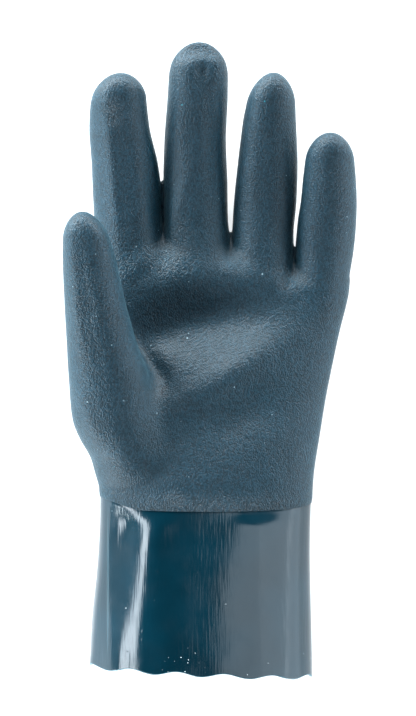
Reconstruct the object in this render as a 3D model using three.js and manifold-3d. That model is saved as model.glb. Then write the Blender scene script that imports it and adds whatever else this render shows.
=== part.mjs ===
// Chemical-resistant work glove for a left hand: a dipped shell with a matt grip coat on the hand and a
// smooth, glossy gauntlet cuff with a wavy cut hem. It lies on its back with the palm up, as on a bench.
//
// Units are millimetres. +Z is up, out of the palm. +Y runs from the cuff to the fingertips. The thumb is on
// the -X side. The origin is under the middle of the glove, on the bench. The glove is 270 mm long.
import * as THREE from "three";
import { mergeVertices } from "three/addons/utils/BufferGeometryUtils.js";
import Module from "manifold-3d";

// Driving dimensions.
const COAT_STEP = 0.5; // how far the grip coat stands proud of the smooth base
const HAND_WALL = 1.9; // coated fabric and grip coat together
const CUFF_WALL = 1.3; // smooth coated fabric alone
const SEAT_GAP = 0.3; // clearance between the cuff and the coat that covers its top
const TUCK = 0.8; // how far the cuff draws in where the coat covers it
const TUCK_LENGTH = 9; // how far the cuff runs on under the coat
const COAT_EDGE = -63.5; // where the coat ends, at the front of the wrist
const COAT_TILT = 0.15; // the coat's edge climbs by this much for each millimetre towards the back
const WRIST_FRONT = 47; // height of the front of the wrist, from which that climb is counted
const SIDE_CLIMB = 3; // how much further that edge climbs on the thumb side
const CLIMB_FROM = 28; // where that climb starts, towards -X
const CLIMB_TO = 46; // and where it is full
const EDGE_REACH = 30; // how far from the coat's edge the sections lean with it
const CUFF_SWELL = 2.4; // the cuff is at its full size this far below the coat's edge
const EDGE_GAP = 0.6; // and starts to swell this far below it
const HEM = -132.2; // mean line of the cut hem
const FOLD_GROWTH = 0.7; // power of the distance from the coat's edge with which the cuff's folds grow
const CUFF_SAG = 12; // how far the cuff's thumb side has sunk at the hem, so that its wall slants outwards
const SAG_START = 0.3; // where that begins, as a share of the half width from the middle
const HEM_WAVES = 12; // waves round the hem
const HEM_WAVE = 0.85; // their height above and below the mean line
const HEM_SLANT = 0.045; // the hem climbs by this much for each millimetre towards the thumb side
const PALM_TOP = 55; // where the palm's own form ends between the index and middle fingers
const WEB_FALL = 0.0036; // the webs fall towards the little finger by this times the distance squared
const WEB_START = -20; // where along X that fall starts
const WEB_BASE = 20; // where along Y the sections begin to lean with the webs
const WEB_SPAN = 58; // how far it goes on growing
const FINGER_SQUARE = 2.1; // exponent of a finger's section
const CENTRE_SHIFT = -0.55; // brings the middle of the glove's width over the origin

// Facets. Sides are counted round a section, and a step is the most from one section to the next.
const CUFF_SIDES = 72; // six to a wave of the hem
const CUFF_STEP = 10;
const PALM_SIDES = 56;
const PALM_STEP = 8.5;
const HOLLOW_SIDES = 40; // the inside of the palm
const HOLLOW_STEP = 10;
const FINGER_SIDES = 18;
const FINGER_STEP = 8;
const LINING_SIDES = 12; // the inside of a finger
const LINING_STEP = 11;
const RING_SAMPLES = 240; // fine points from which a ring's even ones are taken
const DOME_STEPS = 4; // rings in a rounded fingertip
const DOME_SHARE = 0.6; // of a step, from the last of those rings to the tip

// Each table has a row for a section across the glove at y. left and right are its sides as seen from the
// palm, and back and front its lowest and highest points. square is the section's exponent: 2 is an ellipse,
// and more is boxier.

// Palm, wrist and cuff, on the smooth base that lies under the grip coat.
const TRUNK = [
  { y: -136, left: -51.6, right: 43.9, back: -1.0, front: 50.5, square: 2.3 },
  { y: -110, left: -50.2, right: 43.2, back: 0.5, front: 50.0, square: 2.3 },
  { y: -92, left: -48.1, right: 42.7, back: 2.2, front: 49.0, square: 2.3 },
  { y: -76, left: -46.9, right: 42.7, back: 3.2, front: 47.8, square: 2.35 },
  { y: -62, left: -46.6, right: 43.2, back: 3.2, front: 47.0, square: 2.4 },
  { y: -50, left: -46.5, right: 44.0, back: 2.4, front: 46.0, square: 2.4 },
  { y: -35, left: -47.0, right: 46.2, back: 1.2, front: 43.5, square: 2.4 },
  { y: -15, left: -46.5, right: 49.4, back: 0.2, front: 39.5, square: 2.4 },
  { y: 5, left: -46.5, right: 53.5, back: -0.5, front: 35.0, square: 2.6 },
  { y: 25, left: -47.2, right: 57.7, back: -0.5, front: 31.0, square: 3 },
  { y: 38, left: -47.6, right: 58.4, back: 0.4, front: 28.5, square: 3.2 },
  { y: 47, left: -46.5, right: 56.0, back: 4.0, front: 24.5, square: 3 },
  { y: PALM_TOP, left: -42.0, right: 40.0, back: 11.0, front: 18.0, square: 2.4 },
];

// Fingers and thumb, on the outside of the grip coat. tip is the fingertip's end.
const INDEX = {
  tip: 122,
  rows: [
    { y: 18, left: -43.5, right: -21.0, back: 4.0, front: 24.0 },
    { y: 34, left: -47.0, right: -18.4, back: 1.2, front: 27.6 },
    { y: 50, left: -49.0, right: -19.2, back: 0.8, front: 28.4 },
    { y: 60, left: -49.5, right: -20.2, back: 1.6, front: 28.9 },
    { y: 72, left: -50.1, right: -20.6, back: 3.4, front: 30.0 },
    { y: 85, left: -50.6, right: -22.3, back: 6.3, front: 32.0 },
    { y: 98, left: -51.4, right: -25.4, back: 10.2, front: 34.8 },
    { y: 109, left: -50.8, right: -26.7, back: 14.8, front: 37.4 },
    { y: 111.5, left: -50.2, right: -26.9, back: 15.8, front: 37.8 },
  ],
};
const MIDDLE = {
  tip: 135,
  rows: [
    { y: 18, left: -16.0, right: 6.0, back: 4.0, front: 24.0 },
    { y: 34, left: -19.0, right: 8.6, back: 0.8, front: 28.2 },
    { y: 50, left: -20.1, right: 8.8, back: 0.4, front: 28.8 },
    { y: 60, left: -19.8, right: 7.9, back: 1.0, front: 28.9 },
    { y: 77, left: -19.9, right: 7.6, back: 2.8, front: 29.6 },
    { y: 94, left: -19.4, right: 7.0, back: 5.8, front: 31.4 },
    { y: 111, left: -18.1, right: 7.7, back: 10.2, front: 34.6 },
    { y: 122, left: -17.3, right: 7.8, back: 14.2, front: 37.2 },
    { y: 124.5, left: -16.8, right: 7.4, back: 15.2, front: 37.8 },
  ],
};
const RING = {
  tip: 122,
  rows: [
    { y: 16, left: 12.0, right: 34.0, back: 4.0, front: 24.0 },
    { y: 32, left: 9.2, right: 36.6, back: 1.2, front: 28.0 },
    { y: 45, left: 9.0, right: 36.3, back: 1.2, front: 28.4 },
    { y: 55, left: 9.6, right: 36.0, back: 2.2, front: 28.8 },
    { y: 68, left: 10.4, right: 37.2, back: 4.2, front: 29.8 },
    { y: 85, left: 12.1, right: 37.6, back: 8.0, front: 32.2 },
    { y: 102, left: 14.2, right: 36.8, back: 13.2, front: 35.6 },
    { y: 109, left: 15.6, right: 36.5, back: 16.0, front: 37.2 },
  ],
};
const LITTLE = {
  tip: 96.5,
  rows: [
    { y: 8, left: 35.0, right: 51.0, back: 5.0, front: 24.0 },
    { y: 24, left: 34.5, right: 57.4, back: 2.8, front: 28.0 },
    { y: 42.5, left: 36.1, right: 61.0, back: 4.2, front: 28.8 },
    { y: 51, left: 36.9, right: 62.1, back: 6.0, front: 30.0 },
    { y: 60, left: 37.7, right: 62.7, back: 8.4, front: 31.8 },
    { y: 68, left: 38.9, right: 62.8, back: 11.0, front: 33.6 },
    { y: 77, left: 39.7, right: 62.3, back: 14.4, front: 36.0 },
    { y: 85, left: 40.6, right: 61.5, back: 17.8, front: 38.2 },
  ],
};
const THUMB = {
  tip: 62,
  rows: [
    { y: -58, left: -44.5, right: -22.0, back: 14.0, front: 37.0 },
    { y: -50, left: -46.9, right: -18.0, back: 11.5, front: 43.5 },
    { y: -42.5, left: -49.7, right: -16.0, back: 10.0, front: 46.8 },
    { y: -34, left: -54.8, right: -17.5, back: 11.0, front: 48.4 },
    { y: -25.5, left: -58.1, right: -20.0, back: 13.0, front: 49.5 },
    { y: -8.5, left: -59.6, right: -25.0, back: 19.0, front: 52.0 },
    { y: 8.5, left: -60.4, right: -31.0, back: 26.0, front: 55.0 },
    { y: 25, left: -61.1, right: -35.5, back: 33.0, front: 59.0 },
    { y: 42, left: -61.6, right: -39.2, back: 39.5, front: 62.6 },
    { y: 50, left: -61.5, right: -41.5, back: 42.5, front: 63.6 },
  ],
};

// Mounds and dents of the palm's front. Each is a soft oval round x, y, long by wide millimetres, turned by
// angle degrees from +X, and height millimetres high.
const PALM_RELIEF = [
  { x: -8, y: 24, angle: 8, long: 26, wide: 13, height: -6.5 }, // hollow of the palm
  { x: 14, y: -7, angle: 29, long: 30, wide: 8, height: 3.5 }, // ridge from the ball of the thumb
  { x: 14, y: -24, angle: 25, long: 20, wide: 10, height: -2.5 }, // shallow valley below that ridge
  { x: -17, y: -4, angle: -52, long: 9, wide: 5, height: -3.2 }, // fold at the root of the thumb
];

// Folds that run down the cuff. angle is the place round the cuff at its top, in degrees from +X through the
// front, drift its change down to the hem, wide the fold's half width in degrees, and height its height at
// the hem.
const CUFF_FOLDS = [
  { angle: 158, drift: 4, wide: 9, height: 1.6 }, // crease along the thumb side
  { angle: 138, drift: -2, wide: 11, height: -1.4 },
  { angle: 96, drift: 0, wide: 16, height: -1.0 },
  { angle: 40, drift: 6, wide: 18, height: 0.8 },
  { angle: 225, drift: -5, wide: 14, height: -1.0 },
];

const wasm = await Module();
wasm.setup();

const radians = THREE.MathUtils.degToRad;
const smoothstep = THREE.MathUtils.smoothstep;
const clamp = THREE.MathUtils.clamp;
const bell = (distance) => Math.exp(-distance * distance);

// Slope of a table's column at row i, from its neighbours.
function slope(rows, column, i) {
  const before = rows[Math.max(i - 1, 0)];
  const after = rows[Math.min(i + 1, rows.length - 1)];
  return (after[column] - before[column]) / (after.y - before.y);
}

// A column's value at station y, on a smooth curve through the rows, and straight past the last one.
function follow(rows, column, y) {
  const last = rows.length - 1;
  if (y >= rows[last].y) return rows[last][column] + slope(rows, column, last) * (y - rows[last].y);
  const i = Math.max(0, rows.findIndex((row) => row.y > y) - 1);
  const [low, high] = [rows[i], rows[i + 1]];
  const span = high.y - low.y;
  const t = Math.max(0, (y - low.y) / span);
  const [start, end] = [slope(rows, column, i) * span, slope(rows, column, i + 1) * span];
  return (
    low[column] * (2 * t ** 3 - 3 * t ** 2 + 1) +
    high[column] * (3 * t ** 2 - 2 * t ** 3) +
    start * (t ** 3 - 2 * t ** 2 + t) +
    end * (t ** 3 - t ** 2)
  );
}

// Points spaced evenly along a closed loop of points.
function spaceEvenly(loop, count) {
  const lengths = [0];
  loop.forEach((point, i) => lengths.push(lengths[i] + point.distanceTo(loop[(i + 1) % loop.length])));
  const total = lengths[loop.length];
  let i = 0;
  return Array.from({ length: count }, (_, k) => {
    const wanted = (total * k) / count;
    while (lengths[i + 1] < wanted) i += 1;
    const share = (wanted - lengths[i]) / (lengths[i + 1] - lengths[i]);
    return loop[i].clone().lerp(loop[(i + 1) % loop.length], share);
  });
}

// The middle of a section at station y.
function middleAt(rows, y) {
  const [left, right, back, front] = ["left", "right", "back", "front"].map((side) => follow(rows, side, y));
  return new THREE.Vector3((left + right) / 2, y, (back + front) / 2);
}

// A section at station y, drawn in by inset and shrunk to scale about its middle.
function section(rows, y, inset, scale, sides) {
  const at = (column) => follow(rows, column, y);
  const [left, right, back, front] = ["left", "right", "back", "front"].map(at);
  const square = rows[0].square ? at("square") : FINGER_SQUARE;
  const halfWidth = ((right - left) / 2 - inset) * scale;
  const halfDepth = ((front - back) / 2 - inset) * scale;
  const swell = (v) => Math.sign(v) * Math.abs(v) ** (2 / square);
  const loop = Array.from({ length: RING_SAMPLES }, (_, i) => {
    const angle = (2 * Math.PI * i) / RING_SAMPLES;
    return new THREE.Vector3(
      (left + right) / 2 + halfWidth * swell(Math.cos(angle)),
      y,
      (back + front) / 2 + halfDepth * swell(Math.sin(angle)),
    );
  });
  return spaceEvenly(loop, sides);
}

// Height of the palm's mounds and dents at x, y.
function relief(x, y) {
  return PALM_RELIEF.reduce((height, dent) => {
    const turn = radians(dent.angle);
    const along = (x - dent.x) * Math.cos(turn) + (y - dent.y) * Math.sin(turn);
    const across = (y - dent.y) * Math.cos(turn) - (x - dent.x) * Math.sin(turn);
    return height + dent.height * bell(Math.hypot(along / dent.long, across / dent.wide));
  }, 0);
}

// The points of a section, with the palm's relief on their front.
function withRelief(rows, y, points) {
  const middle = middleAt(rows, y).z;
  const front = follow(rows, "front", y);
  return points.map((point) => {
    point.z += relief(point.x, point.y) * smoothstep(point.z, middle, front);
    return point;
  });
}

// A section of the palm, wrist or cuff. It leans with the coat's edge at the wrist, and with the webs at the
// top.
function trunkSection(y, inset, sides) {
  const nearEdge = bell((y - COAT_EDGE) / EDGE_REACH);
  const nearWebs = smoothstep(y, WEB_BASE, PALM_TOP);
  const points = section(TRUNK, y, inset, 1, sides);
  points.forEach((point) => {
    const sideways = SIDE_CLIMB * smoothstep(-point.x, CLIMB_FROM, CLIMB_TO);
    point.y += (COAT_TILT * (WRIST_FRONT - point.z) + sideways) * nearEdge;
    point.y -= WEB_FALL * clamp(point.x - WEB_START, 0, WEB_SPAN) ** 2 * nearWebs;
  });
  return withRelief(TRUNK, y, points);
}

// A section of the cuff, with its sunken thumb side and its folds, which grow from nothing at the coat's edge
// to full height at the hem.
function cuffSection(y, inset) {
  const down = clamp((COAT_EDGE - y) / (COAT_EDGE - HEM), 0, 1);
  const grown = down ** FOLD_GROWTH;
  const centre = middleAt(TRUNK, y);
  const halfWidth = centre.x - follow(TRUNK, "left", y);
  return trunkSection(y, inset, CUFF_SIDES).map((point, i) => {
    const place = (360 * i) / CUFF_SIDES;
    const height = CUFF_FOLDS.reduce((sum, fold) => {
      return sum + fold.height * bell((place - fold.angle - fold.drift * down) / fold.wide);
    }, 0);
    const outward = point.clone().sub(centre).setY(0).normalize();
    point.addScaledVector(outward, height * grown);
    const aside = smoothstep((centre.x - point.x) / halfWidth, SAG_START, 1);
    point.z -= CUFF_SAG * aside * grown;
    return point;
  });
}

// Points no lower than the bench, or than the wall's thickness above it.
const restOn = (ring, height) => ring.map((point) => point.setZ(Math.max(point.z, height)));

// Triangles of a closed loft through rings of the same number of points, closed at each end by a fan.
function loft(rings, firstEnd, lastEnd) {
  const sides = rings[0].length;
  const middleOf = (ring) => ring.reduce((sum, p) => sum.add(p), new THREE.Vector3()).divideScalar(sides);
  const points = [...rings.flat(), firstEnd ?? middleOf(rings[0]), lastEnd ?? middleOf(rings.at(-1))];
  const [first, last] = [points.length - 2, points.length - 1];
  const faces = [];
  for (let k = 0; k < sides; k += 1) {
    const next = (k + 1) % sides;
    faces.push([first, k, next]);
    for (let r = 0; r + 1 < rings.length; r += 1) {
      const [a, b, c, d] = [r * sides + k, r * sides + next, (r + 1) * sides + next, (r + 1) * sides + k];
      faces.push([a, d, c], [a, c, b]);
    }
    const top = (rings.length - 1) * sides;
    faces.push([last, top + next, top + k]);
  }
  return solid(points, faces);
}

// A manifold solid from points and faces, turned to face outwards.
function solid(points, faces) {
  const vertProperties = new Float32Array(points.flatMap((p) => p.toArray()));
  const made = (corners) => {
    const triVerts = new Uint32Array(corners.flat());
    return new wasm.Manifold(new wasm.Mesh({ numProp: 3, vertProperties, triVerts }));
  };
  const body = made(faces);
  return body.volume() > 0 ? body : made(faces.map(([a, b, c]) => [a, c, b]));
}

// Stations from one y to another, no further apart than step.
function stations(from, to, step) {
  const count = Math.ceil(Math.abs(to - from) / step);
  return Array.from({ length: count + 1 }, (_, i) => from + ((to - from) * i) / count);
}

// A finger or thumb with a rounded tip, its surface drawn in by inset.
function finger({ tip, rows }, inset, sides, step) {
  const shoulder = rows.at(-1).y;
  const root = rows[0].y;
  const dome = tip - shoulder - inset;
  const slice = (y, scale) => {
    const points = section(rows, y, inset, scale, sides);
    return rows === THUMB.rows ? points : withRelief(rows, y, points);
  };
  const rings = stations(root, shoulder, step).map((y) => slice(y, 1));
  for (let i = 1; i <= DOME_STEPS; i += 1) {
    const angle = (Math.PI / 2) * (i / (DOME_STEPS + DOME_SHARE));
    rings.push(slice(shoulder + dome * Math.sin(angle), Math.cos(angle)));
  }
  return loft(rings.map((ring) => restOn(ring, inset)), undefined, middleAt(rows, shoulder + dome));
}

// Palm and wrist down to the coat's edge, on the outside of the grip coat.
function palm() {
  const levels = stations(COAT_EDGE, PALM_TOP, PALM_STEP);
  return loft(levels.map((y) => restOn(trunkSection(y, -COAT_STEP, PALM_SIDES), 0)));
}

// The hollow of the palm, from inside the cuff's seat up to the finger roots.
function palmHollow() {
  const levels = stations(COAT_EDGE, PALM_TOP - HAND_WALL, HOLLOW_STEP);
  return loft(levels.map((y) => restOn(trunkSection(y, HAND_WALL - COAT_STEP, HOLLOW_SIDES), HAND_WALL)));
}

// The wider seat in the coat's lower end that holds the cuff's top.
function cuffSeat() {
  const levels = [COAT_EDGE - TUCK_LENGTH, COAT_EDGE, COAT_EDGE + TUCK_LENGTH + SEAT_GAP];
  return loft(levels.map((y) => trunkSection(y, TUCK - SEAT_GAP, CUFF_SIDES)));
}

function makeHand() {
  const limbs = [INDEX, MIDDLE, RING, LITTLE, THUMB];
  const outside = limbs.reduce((body, limb) => body.add(finger(limb, 0, FINGER_SIDES, FINGER_STEP)), palm());
  const hollow = (limb) => finger(limb, HAND_WALL, LINING_SIDES, LINING_STEP);
  const inside = limbs.reduce((body, limb) => body.add(hollow(limb)), palmHollow());
  return outside.subtract(inside.add(cuffSeat()));
}

// The cuff is one wall: down its outside to the wavy hem and up its inside.
function makeCuff() {
  const levels = [
    { y: COAT_EDGE + TUCK_LENGTH, inset: TUCK },
    { y: COAT_EDGE - EDGE_GAP, inset: TUCK },
    ...stations(COAT_EDGE - CUFF_SWELL, HEM, CUFF_STEP).map((y) => ({ y, inset: 0 })),
  ];
  const wave = (ring) => ring.map((point, i) => {
    point.y -= HEM_WAVE * Math.cos((2 * Math.PI * HEM_WAVES * i) / CUFF_SIDES) + HEM_SLANT * point.x;
    return point;
  });
  const wall = (thickness) => levels.map(({ y, inset }) => {
    const ring = restOn(cuffSection(y, inset + thickness), thickness);
    return y === HEM ? wave(ring) : ring;
  });
  const rings = [...wall(0), ...wall(CUFF_WALL).reverse()];
  const points = rings.flat();
  const faces = [];
  rings.forEach((_, r) => {
    const nextRing = (r + 1) % rings.length;
    for (let k = 0; k < CUFF_SIDES; k += 1) {
      const next = (k + 1) % CUFF_SIDES;
      const [a, b] = [r * CUFF_SIDES + k, r * CUFF_SIDES + next];
      const [c, d] = [nextRing * CUFF_SIDES + next, nextRing * CUFF_SIDES + k];
      faces.push([a, c, b], [a, d, c]);
    }
  });
  return solid(points, faces);
}

// A named mesh from a solid.
function meshOf(name, made, material) {
  const { numProp, numVert, vertProperties, triVerts } = made.getMesh();
  const position = new Float32Array(numVert * 3);
  for (let i = 0; i < numVert; i += 1) {
    position.set(vertProperties.subarray(i * numProp, i * numProp + 3), i * 3);
  }
  const geometry = new THREE.BufferGeometry();
  geometry.setAttribute("position", new THREE.BufferAttribute(position, 3));
  geometry.setIndex(new THREE.BufferAttribute(triVerts, 1));
  const mesh = new THREE.Mesh(mergeVertices(geometry), material);
  mesh.name = name;
  return mesh;
}

const gripCoat = new THREE.MeshStandardMaterial({ color: 0x3c5665, roughness: 0.75, metalness: 0 });
const smoothCoat = new THREE.MeshStandardMaterial({ color: 0x0b3a4d, roughness: 0.22, metalness: 0 });

const glove = new THREE.Group();
glove.add(meshOf("hand", makeHand(), gripCoat), meshOf("cuff", makeCuff(), smoothCoat));
glove.position.x = CENTRE_SHIFT;

export default glove;
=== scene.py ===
"""Chemical-resistant work glove for a left hand, lying palm up: a matt coated hand and a glossy cuff.

Run as a script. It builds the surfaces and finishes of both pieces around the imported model, and the stage.
Lengths are metres. +Z is up, out of the palm, +Y runs to the fingertips, and the thumb is on the -X side.
"""

import math

import bpy
import numpy as np
from bpy.props import FloatProperty, FloatVectorProperty, IntProperty, PointerProperty
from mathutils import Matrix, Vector


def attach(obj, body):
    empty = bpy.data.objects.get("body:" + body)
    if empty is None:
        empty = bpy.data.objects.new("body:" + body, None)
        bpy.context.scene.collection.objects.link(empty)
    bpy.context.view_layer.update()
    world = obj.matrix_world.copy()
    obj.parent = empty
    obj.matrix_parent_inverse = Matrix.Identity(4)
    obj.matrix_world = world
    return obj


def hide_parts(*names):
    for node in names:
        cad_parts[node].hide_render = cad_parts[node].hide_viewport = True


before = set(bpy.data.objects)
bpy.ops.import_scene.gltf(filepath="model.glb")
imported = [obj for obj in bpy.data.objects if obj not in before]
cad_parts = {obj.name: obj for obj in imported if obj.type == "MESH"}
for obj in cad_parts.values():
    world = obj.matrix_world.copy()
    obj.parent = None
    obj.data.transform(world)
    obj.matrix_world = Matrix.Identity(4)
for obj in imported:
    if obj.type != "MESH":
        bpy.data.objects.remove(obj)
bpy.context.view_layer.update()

bl_info = {
    "name": "Chemical-resistant glove",
    "version": (1, 0, 0),
    "blender": (4, 5, 0),
    "location": "3D Viewport > Sidebar > Glove",
    "description": "Builds the coated hand, the glossy cuff and the stage of a chemical-resistant work glove",
    "category": "Add Mesh",
}

# The coats and the walls
COAT_STEP = 0.0005  # how far the grip coat stands proud of the smooth base
HAND_WALL = 0.0019
CUFF_WALL = 0.0013
SEAT_GAP = 0.0003  # clearance between the cuff and the coat that covers its top
TUCK = 0.0008  # how far the cuff draws in where the coat covers it
TUCK_LENGTH = 0.009  # how far the cuff runs on under the coat
LIP_WALL = COAT_STEP + TUCK - SEAT_GAP  # the coat where it covers the cuff
EDGE_WALL = 0.00045  # the coat at its very edge
LIP_TAPER = 0.0002  # the coat's outside falls by this at that edge
SEAT_RISE = 0.0025  # the cuff rises out of its tuck over this length, up to the coat's edge

# The coat's edge at the wrist
COAT_EDGE = -0.0635
COAT_TILT = 0.15  # the edge climbs by this much for each metre towards the back
WRIST_FRONT = 0.047
SIDE_CLIMB = 0.003  # and by this much more on the thumb side
CLIMB_FROM = 0.028
CLIMB_TO = 0.046
EDGE_REACH = 0.030  # how far from the edge the sections lean with it

# The webs between the fingers
PALM_TOP = 0.055
WEB_FALL = 3.6  # the webs fall towards the little finger by this times the distance squared
WEB_START = -0.020
WEB_BASE = 0.020
WEB_SPAN = 0.058

FINGER_SQUARE = 2.1  # exponent of a finger's section
CENTRE_SHIFT = -0.00055  # brings the middle of the glove's width over the origin

# The cuff and its hem
HEM = -0.1322
FOLD_GROWTH = 0.7  # power of the distance from the coat's edge with which the cuff's folds grow
CUFF_SAG = 0.008  # how far the front sinks at the cuff's thumb side
SAG_START = 0.50  # it starts to sink at this share of the half width
DENT_START = 0.007  # the cuff's dents fade in over this length below the coat's edge
HEM_SLANT = 0.045  # the cut climbs by this much for each metre towards the thumb side
HEM_REACH = 0.010  # how far up from the cut the hem's waves reach
HEM_ROW = 0.0004  # the last row of vertices above the cut lies this close to it
TUCK_ROWS = 8
RISE_ROWS = 6
RING_DETAIL = 8  # points for each side on the ring that is then spaced evenly

TRUNK_COLUMNS = "y left right back front square"
TRUNK_ROWS = [
    (-0.1360, -0.0516, 0.0439, -0.0010, 0.0505, 2.30),
    (-0.1100, -0.0502, 0.0432, 0.0005, 0.0500, 2.30),
    (-0.0920, -0.0481, 0.0427, 0.0022, 0.0490, 2.30),
    (-0.0760, -0.0469, 0.0427, 0.0032, 0.0478, 2.35),
    (-0.0620, -0.0466, 0.0432, 0.0032, 0.0470, 2.40),
    (-0.0500, -0.0465, 0.0440, 0.0024, 0.0460, 2.40),
    (-0.0350, -0.0470, 0.0462, 0.0012, 0.0435, 2.40),
    (-0.0150, -0.0465, 0.0494, 0.0002, 0.0395, 2.40),
    (0.0050, -0.0465, 0.0535, -0.0005, 0.0350, 2.60),
    (0.0250, -0.0472, 0.0577, -0.0005, 0.0310, 3.00),
    (0.0380, -0.0476, 0.0584, 0.0004, 0.0285, 3.20),
    (0.0470, -0.0465, 0.0560, 0.0040, 0.0245, 3.00),
    (PALM_TOP, -0.0420, 0.0400, 0.0110, 0.0180, 2.40),
]

LIMB_COLUMNS = "y left right back front"
INDEX_ROWS = [
    (0.0180, -0.0435, -0.0210, 0.0040, 0.0240),
    (0.0340, -0.0470, -0.0184, 0.0012, 0.0276),
    (0.0500, -0.0490, -0.0192, 0.0008, 0.0284),
    (0.0600, -0.0495, -0.0202, 0.0016, 0.0289),
    (0.0720, -0.0501, -0.0206, 0.0034, 0.0300),
    (0.0850, -0.0506, -0.0223, 0.0063, 0.0320),
    (0.0980, -0.0514, -0.0254, 0.0102, 0.0348),
    (0.1090, -0.0508, -0.0267, 0.0148, 0.0374),
    (0.1115, -0.0502, -0.0269, 0.0158, 0.0378),
]
MIDDLE_ROWS = [
    (0.0180, -0.0160, 0.0060, 0.0040, 0.0240),
    (0.0340, -0.0190, 0.0086, 0.0008, 0.0282),
    (0.0500, -0.0201, 0.0088, 0.0004, 0.0288),
    (0.0600, -0.0198, 0.0079, 0.0010, 0.0289),
    (0.0770, -0.0199, 0.0076, 0.0028, 0.0296),
    (0.0940, -0.0194, 0.0070, 0.0058, 0.0314),
    (0.1110, -0.0181, 0.0077, 0.0102, 0.0346),
    (0.1220, -0.0173, 0.0078, 0.0142, 0.0372),
    (0.1245, -0.0168, 0.0074, 0.0152, 0.0378),
]
RING_ROWS = [
    (0.0160, 0.0120, 0.0340, 0.0040, 0.0240),
    (0.0320, 0.0092, 0.0366, 0.0012, 0.0280),
    (0.0450, 0.0090, 0.0363, 0.0012, 0.0284),
    (0.0550, 0.0096, 0.0360, 0.0022, 0.0288),
    (0.0680, 0.0104, 0.0372, 0.0042, 0.0298),
    (0.0850, 0.0121, 0.0376, 0.0080, 0.0322),
    (0.1020, 0.0142, 0.0368, 0.0132, 0.0356),
    (0.1090, 0.0156, 0.0365, 0.0160, 0.0372),
]
LITTLE_ROWS = [
    (0.0080, 0.0350, 0.0510, 0.0050, 0.0240),
    (0.0240, 0.0345, 0.0574, 0.0028, 0.0280),
    (0.0425, 0.0361, 0.0610, 0.0042, 0.0288),
    (0.0510, 0.0369, 0.0621, 0.0060, 0.0300),
    (0.0600, 0.0377, 0.0627, 0.0084, 0.0318),
    (0.0680, 0.0389, 0.0628, 0.0110, 0.0336),
    (0.0770, 0.0397, 0.0623, 0.0144, 0.0360),
    (0.0850, 0.0406, 0.0615, 0.0178, 0.0382),
]
THUMB_ROWS = [
    (-0.0580, -0.0445, -0.0220, 0.0140, 0.0370),
    (-0.0500, -0.0469, -0.0180, 0.0115, 0.0435),
    (-0.0425, -0.0497, -0.0160, 0.0100, 0.0468),
    (-0.0340, -0.0548, -0.0175, 0.0110, 0.0484),
    (-0.0255, -0.0581, -0.0200, 0.0130, 0.0495),
    (-0.0085, -0.0596, -0.0250, 0.0190, 0.0520),
    (0.0085, -0.0604, -0.0310, 0.0260, 0.0550),
    (0.0250, -0.0611, -0.0355, 0.0330, 0.0590),
    (0.0420, -0.0616, -0.0392, 0.0395, 0.0626),
    (0.0500, -0.0615, -0.0415, 0.0425, 0.0636),
]

# Mounds and dents of the front. Each is a soft oval: its x, its y, its turn from +X in degrees, its half
# length, its half width and its height.
PALM_RELIEF = [
    (-0.0080, 0.0240, 8, 0.026, 0.0130, -0.0065),
    (-0.0080, 0.0300, 8, 0.032, 0.0120, 0.0048),
    (-0.0040, 0.0120, 16, 0.032, 0.0100, -0.0035),
    (-0.0080, 0.0450, 5, 0.022, 0.0060, 0.0003),
    (-0.0250, 0.0100, 15, 0.011, 0.0080, -0.0016),
    (-0.0238, -0.0040, -52, 0.009, 0.0050, -0.0032),
    (0.0110, -0.0050, 31, 0.028, 0.0080, 0.0019),
    (0.0000, -0.0102, 34, 0.026, 0.0072, 0.0012),
    (0.0140, -0.0240, 25, 0.020, 0.0100, -0.0025),
    (0.0145, -0.0265, 26, 0.022, 0.0110, 0.0005),
    (-0.0280, 0.0425, 38, 0.011, 0.0040, 0.0008),
]
FINGER_RELIEF = [
    (-0.0418, 0.0820, 95, 0.0280, 0.0026, 0.0008),
    (-0.0350, 0.0800, 95, 0.0280, 0.0040, -0.0006),
    (-0.0235, 0.0660, 97, 0.0220, 0.0034, -0.0020),
    (-0.0070, 0.1390, 0, 0.0130, 0.0100, -0.0110),
    (-0.0033, 0.1220, 80, 0.0050, 0.0032, -0.0022),
    (0.0010, 0.1290, 60, 0.0022, 0.0018, -0.0006),
    (-0.0005, 0.1000, 90, 0.0180, 0.0028, -0.0006),
    (-0.0130, 0.1050, 90, 0.0260, 0.0030, 0.0004),
    (-0.0140, 0.0660, 69, 0.0180, 0.0034, 0.0009),
    (0.0058, 0.0900, 90, 0.0400, 0.0028, 0.0007),
    (0.0352, 0.0780, 90, 0.0280, 0.0014, -0.0006),
    (0.0180, 0.0850, 88, 0.0280, 0.0030, 0.0004),
    (0.0333, 0.0340, 75, 0.0055, 0.0028, -0.0014),
    (0.0090, 0.0480, 80, 0.0060, 0.0022, -0.0014),
    (0.0068, 0.0400, 30, 0.0050, 0.0026, 0.0002),
]
THUMB_RELIEF = [
    (-0.0570, 0.0300, 94, 0.032, 0.0028, 0.0009),
    (-0.0500, 0.0180, 98, 0.032, 0.0040, -0.0007),
    (-0.0530, -0.0200, 110, 0.020, 0.0030, 0.0008),
]
CUFF_RELIEF = [
    (-0.0215, -0.0660, 80, 0.024, 0.0060, 0.0010),
    (-0.0350, -0.0700, 80, 0.022, 0.0050, -0.0010),
    (-0.0420, -0.1340, 88, 0.030, 0.0070, 0.0037),
    (0.0190, -0.0620, 84, 0.024, 0.0100, 0.0009),
]

# Folds down the cuff: the place round it in degrees from +X through the front, its drift down to the hem,
# the half width in degrees, and the height at the hem.
CUFF_FOLDS = [
    (158, 4, 9, 0.0016),
    (96, 0, 16, -0.0004),
    (40, 6, 18, 0.0008),
    (225, -5, 14, -0.0010),
]

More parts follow.
